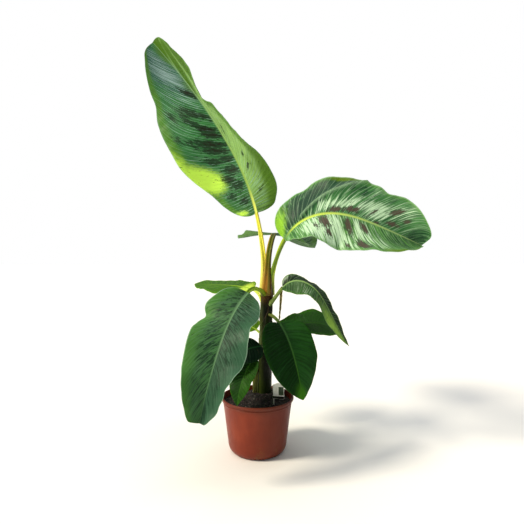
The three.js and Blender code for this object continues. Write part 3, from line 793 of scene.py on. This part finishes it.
def pot_material():
    """Thin terracotta-coloured plastic, scuffed at the foot and darker towards the lip, with soil dust
    and algae specks, and painted shade on the side turned away from the light.
    """
    n = new_paint("pot_plastic", "782A14")
    height, turn = n.marks("height", "turn")
    cloudy = n.noise(n.point(1, 1, 0.6), 18, 4, 0.55)
    scuffs = n.noise(n.point(240, 240, 30), 1, 4, 0.65)
    patchy = n.noise(n.point(), 45)
    specks = n.add("TexVoronoi", {"Vector": n.point(), "Scale": 260.0}, "Distance")
    n.paint("8A361C", cloudy, 0.35, 0.7)
    n.paint("A8553A", scuffs, 0.62, 0.8, 0.35)
    # Painted shade: darker on the side turned away from the light.
    n.paint("4E1C0E", turn, 0.70, 1.0, 0.55)
    # Darker towards the lip, unevenly.
    stain = n.plus(height, n.times(cloudy, 0.35))
    n.paint("4A2414", stain, 0.98, 1.22, 0.55)
    low = n.times(n.eased(height, 0.42, 0.05), n.eased(turn, 0.15, 0.75))
    algae = n.times(low, n.eased(patchy, 0.5, 0.68))
    n.lay("7A6A2C", n.times(algae, n.eased(specks, 0.42, 0.12, 0.1, 0.75)))
    foot = n.times(n.eased(height, 0.07, 0.0), n.eased(scuffs, 0.4, 0.7, 0.2, 0.7))
    n.lay("4E2418", foot)
    relief = n.bump(cloudy, 0.15, 0.0015, n.bump(n.noise(n.point(), 1400, 2), 0.08, 0.0002))
    return n.finish(n.eased(scuffs, 0.4, 0.75, 0.36, 0.6), relief, 0.25)


def soil_material(name, dark, light):
    n = new_paint(name, dark)
    crumbs = n.noise(n.point(), 420, 5, 0.7)
    damp = n.noise(n.point(), 60)
    n.paint(light, crumbs, 0.4, 0.66)
    n.paint(dark, damp, 0.45, 0.65, 0.6)
    return n.finish(n.eased(damp, 0.3, 0.6, 0.95, 0.7), n.bump(crumbs, 0.8, 0.002))


def tag_material(name, colour, dirt):
    n = new_paint(name, colour)
    smears = n.noise(n.point(160, 160, 60), 1, 4, 0.6)
    n.paint(dirt, smears, 0.5, 0.75, 0.45)
    return n.finish(n.eased(smears, 0.4, 0.7, 0.25, 0.5), n.bump(smears, 0.05, 0.0005))


# ---- petioles and blades ----

PETIOLE_STATIONS, PETIOLE_SIDES = 90, 48
CROWN_HEIGHT = 0.4  # petioles from above this flare more at the foot
CROWN_FLARE, SIDE_FLARE = 0.9, 0.5
CHANNEL_DEPTH = 1.1  # of a petiole's radius


def make_petiole(name, leaf, seed):
    """A petiole with a deep channel on its upper side, flared at its foot where it joins the stem."""
    limb = Limb(leaf.foot, *leaf.petiole[:3])
    t = np.linspace(0, 1, PETIOLE_STATIONS)[:, None]
    turn = np.linspace(0, 2 * np.pi, PETIOLE_SIDES, endpoint=False)[None, :]
    start, end = leaf.petiole.girth
    girth = start + (end - start) * t
    flare = 1 + (CROWN_FLARE if leaf.foot[2] > CROWN_HEIGHT else SIDE_FLARE) * (1 - smooth(t, 0, 0.45))
    depth = CHANNEL_DEPTH * (0.55 + 0.45 * smooth(t, 0, 0.4))
    channel = depth * np.exp(-(np.cos(turn) / 0.42) ** 2) * np.clip(np.sin(turn), 0, 1)
    across = girth * flare * np.cos(turn)
    above = girth * (np.sin(turn) - channel)
    marks = {"along": t + 0 * turn, "side": 0 * t + np.cos(turn), "above": 0 * t + np.sin(turn)}
    roll = leaf.blade.roll[0] * smooth(t[:, 0], 0.15, 1)
    mesh = sweep(f"{name}_petiole", limb, t[:, 0], roll, across, above, marks)
    material = petiole_material(f"{name}_petiole", leaf.petiole_look, seed)
    add_piece(f"{name}_stalk", mesh, material, [f"{name}_petiole"])
    return limb


def make_blade(name, leaf, seed, neck, nodes):
    t = np.linspace(0, 1, int(leaf.blade.length / BLADE_STEP))
    rib_foot = leaf.petiole.girth[1] * 0.8
    rib = RIB_TIP + (rib_foot - RIB_TIP) * (1 - t) ** leaf.look.rib_taper
    rings, marks = blade_rings(leaf, seed, Limb(neck, *leaf.blade[:3]), t, rib)
    material = blade_material(f"{name}_blade", leaf.look, seed)
    add_piece(f"{name}_leaf", loft(f"{name}_blade", rings, marks), material, nodes)


# ---- stem ----

STEM_FOOT = np.array([0.018, 0.034])
STEM_TOP = np.array([0.025, 0.014])
STEM_RADII = (0.019, 0.0175)  # at foot and top
STEM_FLARE = 0.0025
STEM_SINK, STEM_RISE = 0.006, 0.010  # how far the leaf bases reach past the CAD stem's ends
STEM_LOW, STEM_HIGH = (corner[2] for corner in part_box("pseudostem"))
SHEATH_THICKNESS = 0.0012
STEM_INSET = 0.0008  # of the leaf bases' mean surface from the CAD stem's


def stem_share(z):
    return (z - STEM_LOW) / (STEM_HIGH - STEM_LOW)


def stem_centre(z):
    share = np.clip(stem_share(z), 0, 1)[..., None]
    return STEM_FOOT + (STEM_TOP - STEM_FOOT) * share


def stem_radius(z):
    share = np.clip(stem_share(z), 0, 1)
    return STEM_RADII[0] + (STEM_RADII[1] - STEM_RADII[0]) * share + STEM_FLARE * (1 - share) ** 6


def stem_exit(leaf):
    """(height, direction) at which a leaf's petiole comes out of the stem."""
    path = Limb(leaf.foot, *leaf.petiole[:3]).points
    away = path[:, :2] - stem_centre(path[:, 2])
    out = np.argmax(np.hypot(away[:, 0], away[:, 1]) > 0.8 * stem_radius(path[:, 2]))
    return path[out, 2], math.atan2(away[out, 1], away[out, 0])


def make_stem():
    """Leaf bases rolled round each other: each wraps the stem and narrows up to its own petiole."""
    z = np.linspace(STEM_LOW - STEM_SINK, STEM_HIGH + STEM_RISE, 300)[:, None]
    turn = np.linspace(-np.pi, np.pi, 224, endpoint=False)[None, :]
    exits = sorted(stem_exit(leaf) for leaf in LEAVES.values())
    layers = np.zeros((len(z), turn.shape[1]))
    tone = layers + 0.2
    border = layers.copy()
    for i, (height, direction) in reversed(list(enumerate(exits))):
        depth = height - z
        half = 0.5 * smooth(depth, -0.016, 0.004) + 2.7 * smooth(depth, 0.0, 0.13)
        sway = 0.12 * np.sin(z * 90 + 2 * i)
        away = np.abs((turn - direction + sway + np.pi) % (2 * np.pi) - np.pi)
        cover = smooth(half - away, -0.05, 0.05) * (half > 0.02)
        layers = layers + cover
        edge = np.exp(-((half - away) / 0.055) ** 2) * (half > 0.1)
        tone = tone * (1 - cover) + cover * ((0.37 * i + 0.15) % 1.0)
        border = border * (1 - cover) + edge
    relief = SHEATH_THICKNESS * (layers - layers.mean(axis=1, keepdims=True))
    dome = smooth(z, STEM_HIGH - 0.004, STEM_HIGH + 1.01 * STEM_RISE)
    dome = np.sqrt(np.clip(1 - dome ** 2, 0.02, 1))
    radius = (stem_radius(z[:, 0])[:, None] - STEM_INSET + relief) * dome
    centre = stem_centre(z[:, 0])
    x, y = centre[:, :1] + radius * np.cos(turn), centre[:, 1:] + radius * np.sin(turn)
    marks = {"tone": tone, "border": np.clip(border, 0, 1), "height": stem_share(z) + 0 * turn}
    mesh = loft("pseudostem", np.stack([x, y, z + 0 * turn], axis=-1), marks)
    add_piece("stem_of_leaf_bases", mesh, stem_material(), ["pseudostem"])


# ---- strips: the old sheath and the dried leaf ----

def make_strip(name, limb, t, roll, width, thickness, cup, crinkle, sink):
    """A thin strip along a limb, width wide at each t, cupped by cup degrees and crinkled."""
    u = np.linspace(-1, 1, 21)[None, :]
    bend = np.radians(cup) * u / 2
    radius = (width / 2)[:, None] / math.sin(math.radians(cup) / 2)
    across = radius * np.sin(bend)
    above = radius * (1 - np.cos(bend)) - sink
    above = above + crinkle * np.sin(9 * u + 7 * t[:, None]) * np.sin(23 * t)[:, None]
    thin = thickness * (1 - 0.6 * u ** 4)
    section = np.hstack([across, across[:, ::-1]])
    heights = np.hstack([above + thin / 2, (above - thin / 2)[:, ::-1]])
    marks = {"side": np.hstack([u, u[:, ::-1]]) + 0 * section, "along": 0 * section + t[:, None]}
    return sweep(name, limb, t, roll, section, heights, marks)


def make_old_sheath():
    t = np.linspace(0, 1, 80)
    limb = Limb((-0.007, 0.018, 0.1414), 0.088, (0, 0), (88, 88))
    width = (0.012 + 0.007 * t) * (1 - 0.35 * smooth(t, 0.86, 1))
    mesh = make_strip("old_sheath", limb, t, 75 + 0 * t, width, 0.0016, 80, 0.0006, 0.0012)
    add_piece("old_leaf_base", mesh, sheath_material(), ["old_sheath"])


def make_dried_strip():
    t = np.linspace(0, 1, 110)
    limb = Limb((0.064, -0.020, 0.421), 0.078, (170, 190, 180), (-82, -84, -88))
    width = 0.0092 * (1 - 0.35 * np.sin(np.pi * t) ** 2) * (1 - 0.5 * smooth(t, 0.9, 1))
    mesh = make_strip("dried_strip", limb, t, 200 * t, width, 0.0009, 120, 0.0007, 0.0008)
    add_piece("dried_leaf_strip", mesh, dried_material(), ["dried_strip"])


# ---- pot ----

POT_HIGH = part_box("pot")[1][2]
LIP_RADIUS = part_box("pot")[1][0]
LIP_LOW = POT_HIGH - 0.006
FOOT_RADIUS, BASE_RADIUS, WALL_RADIUS = 0.060, 0.0768, 0.091  # at the foot, its bend and the lip
BASE_BEND = 0.026  # height of the bend over the foot
WALL, FLOOR = 0.002, 0.0024
DRAINS, DRAIN_WIDTH, DRAIN_HEIGHT = 10, 0.009, 0.0036


def wall_radius(z):
    return BASE_RADIUS + (WALL_RADIUS - BASE_RADIUS) * (z - BASE_BEND) / (LIP_LOW - BASE_BEND)


def arc(radius, height, size, start, end, count):
    """Points on an arc of this size round (radius, height), from start to end degrees."""
    turns = np.radians(np.linspace(start, end, count))
    return [(radius + size * math.cos(a), height + size * math.sin(a)) for a in turns]


def pot_corner(inset):
    """The rounded corner between foot and wall, pulled in by inset."""
    run, rise = BASE_RADIUS - FOOT_RADIUS, BASE_BEND - inset
    turns = np.linspace(0, np.pi / 2, 9)
    return [(FOOT_RADIUS + run * math.sin(a) - inset, inset + rise * (1 - math.cos(a))) for a in turns]


def turned(profile, sides):
    """Rings round Z through a profile of (radius, height), and the turn of each of their points."""
    profile = np.array(profile)
    turn = np.linspace(0, 2 * np.pi, sides, endpoint=False)[None, :]
    radius, height = profile[:, :1], profile[:, 1:]
    return np.stack([radius * np.cos(turn), radius * np.sin(turn), height + 0 * turn], axis=-1), turn


def make_pot():
    """A pot with a ring and drain slots under its foot, a bead below its lip and faint dents."""
    outside = [(0.001, 0.0010), (0.030, 0.0010), (0.0306, 0.0004), (0.0318, 0.0004), (0.0324, 0.0010)]
    outside += [(0.046, 0.0010), (0.0475, 0.0), (0.054, 0.0), (0.057, 0.0)]
    outside += pot_corner(0)
    outside += [(wall_radius(z), z) for z in np.linspace(BASE_BEND, LIP_LOW - 0.009, 40)[1:]]
    bead = LIP_LOW - 0.0062
    for swell, step in ((0.0, -0.0014), (0.0006, -0.0009), (0.0009, 0.0), (0.0006, 0.0009), (0.0, 0.0014)):
        outside.append((wall_radius(bead) + swell, bead + step))
    outside += [(wall_radius(LIP_LOW), LIP_LOW - 0.0005), (wall_radius(LIP_LOW) + 0.0006, LIP_LOW)]
    outside += arc(LIP_RADIUS - 0.0014, LIP_LOW + 0.0014, 0.0014, -90, 0, 6)
    outside += arc(LIP_RADIUS - 0.0018, POT_HIGH - 0.0018, 0.0018, 0, 90, 7)
    inner_lip = wall_radius(POT_HIGH) - WALL + 0.0005
    inside = arc(inner_lip + 0.0012, POT_HIGH - 0.0012, 0.0012, 90, 180, 6)
    inside += [(wall_radius(z) - WALL, z) for z in np.linspace(LIP_LOW - 0.002, BASE_BEND, 24)]
    inside += pot_corner(WALL)[::-1]
    inside += [(0.045, FLOOR), (0.001, FLOOR)]
    rings, turn = turned(outside + inside, 240)

    step = 2 * np.pi / DRAINS
    from_drain = np.abs(turn % step - step / 2) * FOOT_RADIUS
    arch = DRAIN_HEIGHT * np.sqrt(np.clip(1 - (from_drain / (DRAIN_WIDTH / 2)) ** 2, 0, 1))
    radius = np.hypot(rings[..., 0], rings[..., 1])
    is_outside = (np.arange(len(rings)) < len(outside))[:, None]
    rings[..., 2] = np.maximum(rings[..., 2], arch * smooth(radius, 0.0465, 0.050) * is_outside)
    dents = [[noise.noise(Vector((22 * x, 22 * y, 16 * z))) for x, y, z in ring] for ring in rings]
    outward = np.stack([rings[..., 0], rings[..., 1], 0 * radius], axis=-1) / radius[..., None]
    push = 0.0006 * np.array(dents) * smooth(rings[..., 2], 0.01, 0.04) * (radius > 0.05)
    rings = rings + push[..., None] * outward
    # How far each point turns away from the light: it carries the pot's painted shade and places the algae.
    sunless = 0.5 + 0.5 * np.cos(turn + np.radians(35)) + 0 * radius
    mesh = loft("pot", rings, {"height": rings[..., 2] / POT_HIGH, "turn": sunless})
    add_piece("nursery_pot", mesh, pot_material(), ["pot"])


# ---- soil ----

SOIL_EDGE = 0.126  # height at the wall
SOIL_SEAT, SOIL_MOUND = 0.027, 0.066  # the mound is level this near the stem and ends this far away
SOIL_GAP = 0.0004  # from the pot's wall
SOIL_SINK, CRUMB_SINK = 0.0008, 0.0006
CRUMBS_FROM_WALL, CRUMBS_FROM_STEM = 0.004, 0.022


def soil_height(x, y):
    """The soil rises from the wall to a mound round the stem."""
    away = np.hypot(x - STEM_FOOT[0], y - STEM_FOOT[1])
    return SOIL_EDGE + (STEM_LOW - SOIL_EDGE) * (1 - smooth(away, SOIL_SEAT, SOIL_MOUND))


def rough(points, scale, depth):
    """Fractal roughness at each point, about plus or minus depth."""
    values = [noise.fractal(Vector(p * scale), 0.8, 2.1, 5) for p in points.reshape(-1, 3)]
    return depth * np.array(values).reshape(points.shape[:-1])


def make_soil():
    edge = wall_radius(SOIL_EDGE) - WALL - SOIL_GAP
    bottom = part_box("soil")[0][2]
    sides = [(0.001, bottom), (0.03, bottom), (0.055, bottom)]
    sides += [(radius - SOIL_GAP, z) for radius, z in pot_corner(WALL + SOIL_GAP)]
    sides += [(wall_radius(z) - WALL - SOIL_GAP, z) for z in np.linspace(0.03, SOIL_EDGE, 8)]
    top = [(edge * share, SOIL_EDGE) for share in np.linspace(0.985, 0.012, 110)]
    rings, _ = turned(sides + top, 300)
    surface = rings[len(sides):]
    surface[..., 2] = soil_height(surface[..., 0], surface[..., 1])
    radius = np.hypot(surface[..., 0], surface[..., 1])
    lumps = rough(surface, 110, 0.0011) + rough(surface, 520, 0.0004)
    surface[..., 2] += lumps * smooth(edge - radius, 0, 0.004) - SOIL_SINK
    add_piece("compost", loft("soil", rings), soil_material("compost", "0A0706", "241A16"), ["soil"])


def make_crumbs(name, count, sizes, material, flatness=0.7):
    """Many small angular lumps lying on the soil, joined into one piece."""
    lump = bmesh.new()
    bmesh.ops.create_icosphere(lump, subdivisions=1, radius=1.0)
    corners = np.array([v.co[:] for v in lump.verts])
    faces = np.array([[v.index for v in f.verts] for f in lump.faces])
    lump.free()
    reach = wall_radius(SOIL_EDGE) - WALL - CRUMBS_FROM_WALL
    points, polygons = [], []
    while len(points) < count:
        x, y = dice.uniform(-reach, reach), dice.uniform(-reach, reach)
        from_stem = math.hypot(x - STEM_FOOT[0], y - STEM_FOOT[1])
        if math.hypot(x, y) > reach or from_stem < CRUMBS_FROM_STEM:
            continue
        size = dice.uniform(*sizes) * dice.uniform(0.6, 1.0)
        stretch = np.array([dice.uniform(0.6, 1.3), dice.uniform(0.6, 1.3), dice.uniform(0.5, 1) * flatness])
        knobs = np.array([dice.uniform(0.75, 1.2) for _ in corners])[:, None]
        turn = dice.uniform(0, 2 * math.pi)
        cos, sin = math.cos(turn), math.sin(turn)
        spun = (corners * knobs * stretch * size) @ np.array([[cos, sin, 0], [-sin, cos, 0], [0, 0, 1]])
        z = float(soil_height(np.array(x), np.array(y))) + size * 0.15 - CRUMB_SINK
        polygons.append(faces + len(points) * len(corners))
        points.append(spun + np.array([x, y, z]))
    mesh = bpy.data.meshes.new(name)
    mesh.from_pydata(np.vstack(points).tolist(), [], np.vstack(polygons).tolist())
    add_piece(name, mesh, material)
    mesh.shade_flat()


# ---- tag ----

TAG_FOOT, TAG_TURN, TAG_LEAN = (0.054, -0.030), math.radians(-12), math.radians(6)
CARD_WIDTH, CARD_HEIGHT, CARD_POINT = 0.030, 0.036, 0.007
STAKE_WIDTH, STAKE_HEIGHT = 0.0045, 0.016
TAG_THICKNESS = 0.0012


def tag_place(x, up, out):
    """A point of the tag from its sideways, upward and frontward distances: the card leans forward."""
    y = -up * math.sin(TAG_LEAN) - out * math.cos(TAG_LEAN)
    z = up * math.cos(TAG_LEAN) + (TAG_THICKNESS - out) * math.sin(TAG_LEAN)
    return (
        TAG_FOOT[0] + x * math.cos(TAG_TURN) - y * math.sin(TAG_TURN),
        TAG_FOOT[1] + x * math.sin(TAG_TURN) + y * math.cos(TAG_TURN),
        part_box("plant_tag")[0][2] + z,
    )


def plate(name, corners, back, front, bevel):
    """A flat plate with these corners, between two distances from the tag's back, with softened edges."""
    work = bmesh.new()
    face = work.faces.new([work.verts.new((x, up, back)) for x, up in corners])
    grown = bmesh.ops.extrude_face_region(work, geom=[face])["geom"]
    for vertex in grown:
        if isinstance(vertex, bmesh.types.BMVert):
            vertex.co.z = front
    bmesh.ops.recalc_face_normals(work, faces=work.faces)
    bmesh.ops.bevel(work, geom=work.edges[:], offset=bevel, segments=2, affect="EDGES", profile=0.5)
    for vertex in work.verts:
        vertex.co = tag_place(*vertex.co)
    bmesh.ops.recalc_face_normals(work, faces=work.faces)
    mesh = bpy.data.meshes.new(name)
    work.to_mesh(mesh)
    work.free()
    return mesh


def make_tag():
    """A label without text on a narrow stake: a white card with a plain block, bar and left edge."""
    half, low, high = CARD_WIDTH / 2, STAKE_HEIGHT, STAKE_HEIGHT + CARD_HEIGHT
    card = [
        (-half, low), (-half, high), (0, high + CARD_POINT), (half, high), (half, low),
        (-half + STAKE_WIDTH, low), (-half + STAKE_WIDTH, 0), (-half, 0),
    ]
    card = plate("plant_tag", card, 0.0001, TAG_THICKNESS - 0.0001, 0.00025)
    paper = tag_material("label_card", "E9ECE4", "B9B9A6")
    add_piece("plant_label", card, paper, ["plant_tag"])
    card.shade_flat()
    for name, start, end, bottom, top, colour, dirt in (
        ("label_block", 0.001, half - 0.001, low + 0.010, high - 0.004, "1F3A1E", "6E8A62"),
        ("label_bar", -half + 0.001, half - 0.0005, low + 0.0008, low + 0.007, "14160F", "34382C"),
        ("label_rail", -half + 0.0003, -half + 0.0015, 0.001, high - 0.001, "2C3424", "5A6450"),
    ):
        corners = [(start, bottom), (start, top), (end, top), (end, bottom)]
        raised = plate(name, corners, TAG_THICKNESS - 0.0003, TAG_THICKNESS + 0.00005, 0.00005)
        add_piece(name, raised, tag_material(name, colour, dirt))
        raised.shade_flat()


# ---- floor, light and camera ----

FLOOR_REACH = 14.0
FILL = 0.30  # strength of the light from all round
CAMERA_DISTANCE = 1.160
CAMERA_HEIGHT = 0.524
FOCAL_LENGTH, SENSOR_WIDTH = 30.23, 36.0
CAMERA_SHIFT = (0.0086, -0.0229)


def make_stage():
    """A plain pale floor that runs out of sight."""
    mesh = bpy.data.meshes.new("floor")
    corners = [(x * FLOOR_REACH, y * FLOOR_REACH, 0) for x, y in ((-1, -1), (1, -1), (1, 1), (-1, 1))]
    mesh.from_pydata(corners, [], [(0, 1, 2, 3)])
    mesh.materials.append(new_paint("floor", "FCFCFA").finish(0.8))
    floor = add_object("floor", mesh)


def add_sun(name, azimuth, elevation, strength, spread, colour):
    """A broad, even lamp a long way off, in the direction of these angles."""
    lamp = bpy.data.lights.new(name, "SUN")
    lamp.energy, lamp.angle, lamp.color = strength, math.radians(spread), srgb(colour)[:3]
    turn = Vector(towards(azimuth, elevation)).to_track_quat("Z", "Y")
    add_object(name, lamp).rotation_euler = turn.to_euler()


def make_light():
    """Soft daylight from the upper left, in front of a white studio backdrop."""
    n = Nodes(bpy.data.worlds.new("studio"))
    fill = n.add("Background", {"Color": "FFFFFF", "Strength": FILL})
    backdrop = n.add("Background", {"Color": "FFFFFF", "Strength": 1.0})
    seen = n.add("LightPath", {}, "Is Camera Ray")
    n.add("OutputWorld", {"Surface": n.add("MixShader", {0: seen, 1: fill, 2: backdrop})}, None)
    bpy.context.scene.world = n.owner
    add_sun("key", 196, 40, 3.15, 14, "FFF3DC")
    add_sun("overhead", 100, 78, 1.2, 60, "FFFFFF")


def make_camera():
    camera = bpy.data.cameras.new("camera")
    camera.lens, camera.sensor_width = FOCAL_LENGTH, SENSOR_WIDTH
    camera.shift_x, camera.shift_y = CAMERA_SHIFT
    holder = add_object("camera", camera)
    holder.location = (0.0, -CAMERA_DISTANCE, CAMERA_HEIGHT)
    holder.rotation_euler = (math.radians(90), 0.0, 0.0)
    bpy.context.scene.camera = holder
    bpy.context.scene.view_settings.view_transform = "Standard"


make_camera()
make_light()
make_stage()
make_pot()
make_soil()
make_crumbs("compost_crumbs", 1500, (0.0012, 0.0030), soil_material("dark_crumbs", "070504", "1F1613"))
make_crumbs("bark_crumbs", 500, (0.0012, 0.0034), soil_material("bark_crumbs", "2A1C1E", "5E4848"))
make_crumbs("pale_grit", 130, (0.0007, 0.0014), soil_material("pale_grit", "8A8478", "CFC9BE"), 1.0)
make_stem()
make_old_sheath()
make_dried_strip()
make_tag()
for number, (leaf_name, leaf_sizes) in enumerate(LEAVES.items(), 1):
    stalk = make_petiole(leaf_name, leaf_sizes, float(number))
    blades = [f"{leaf_name}_{part}" for part in ("blade", "inner_blade", "outer_blade")]
    blades = [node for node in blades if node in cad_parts]
    make_blade(leaf_name, leaf_sizes, float(number), stalk.points[-1], blades)
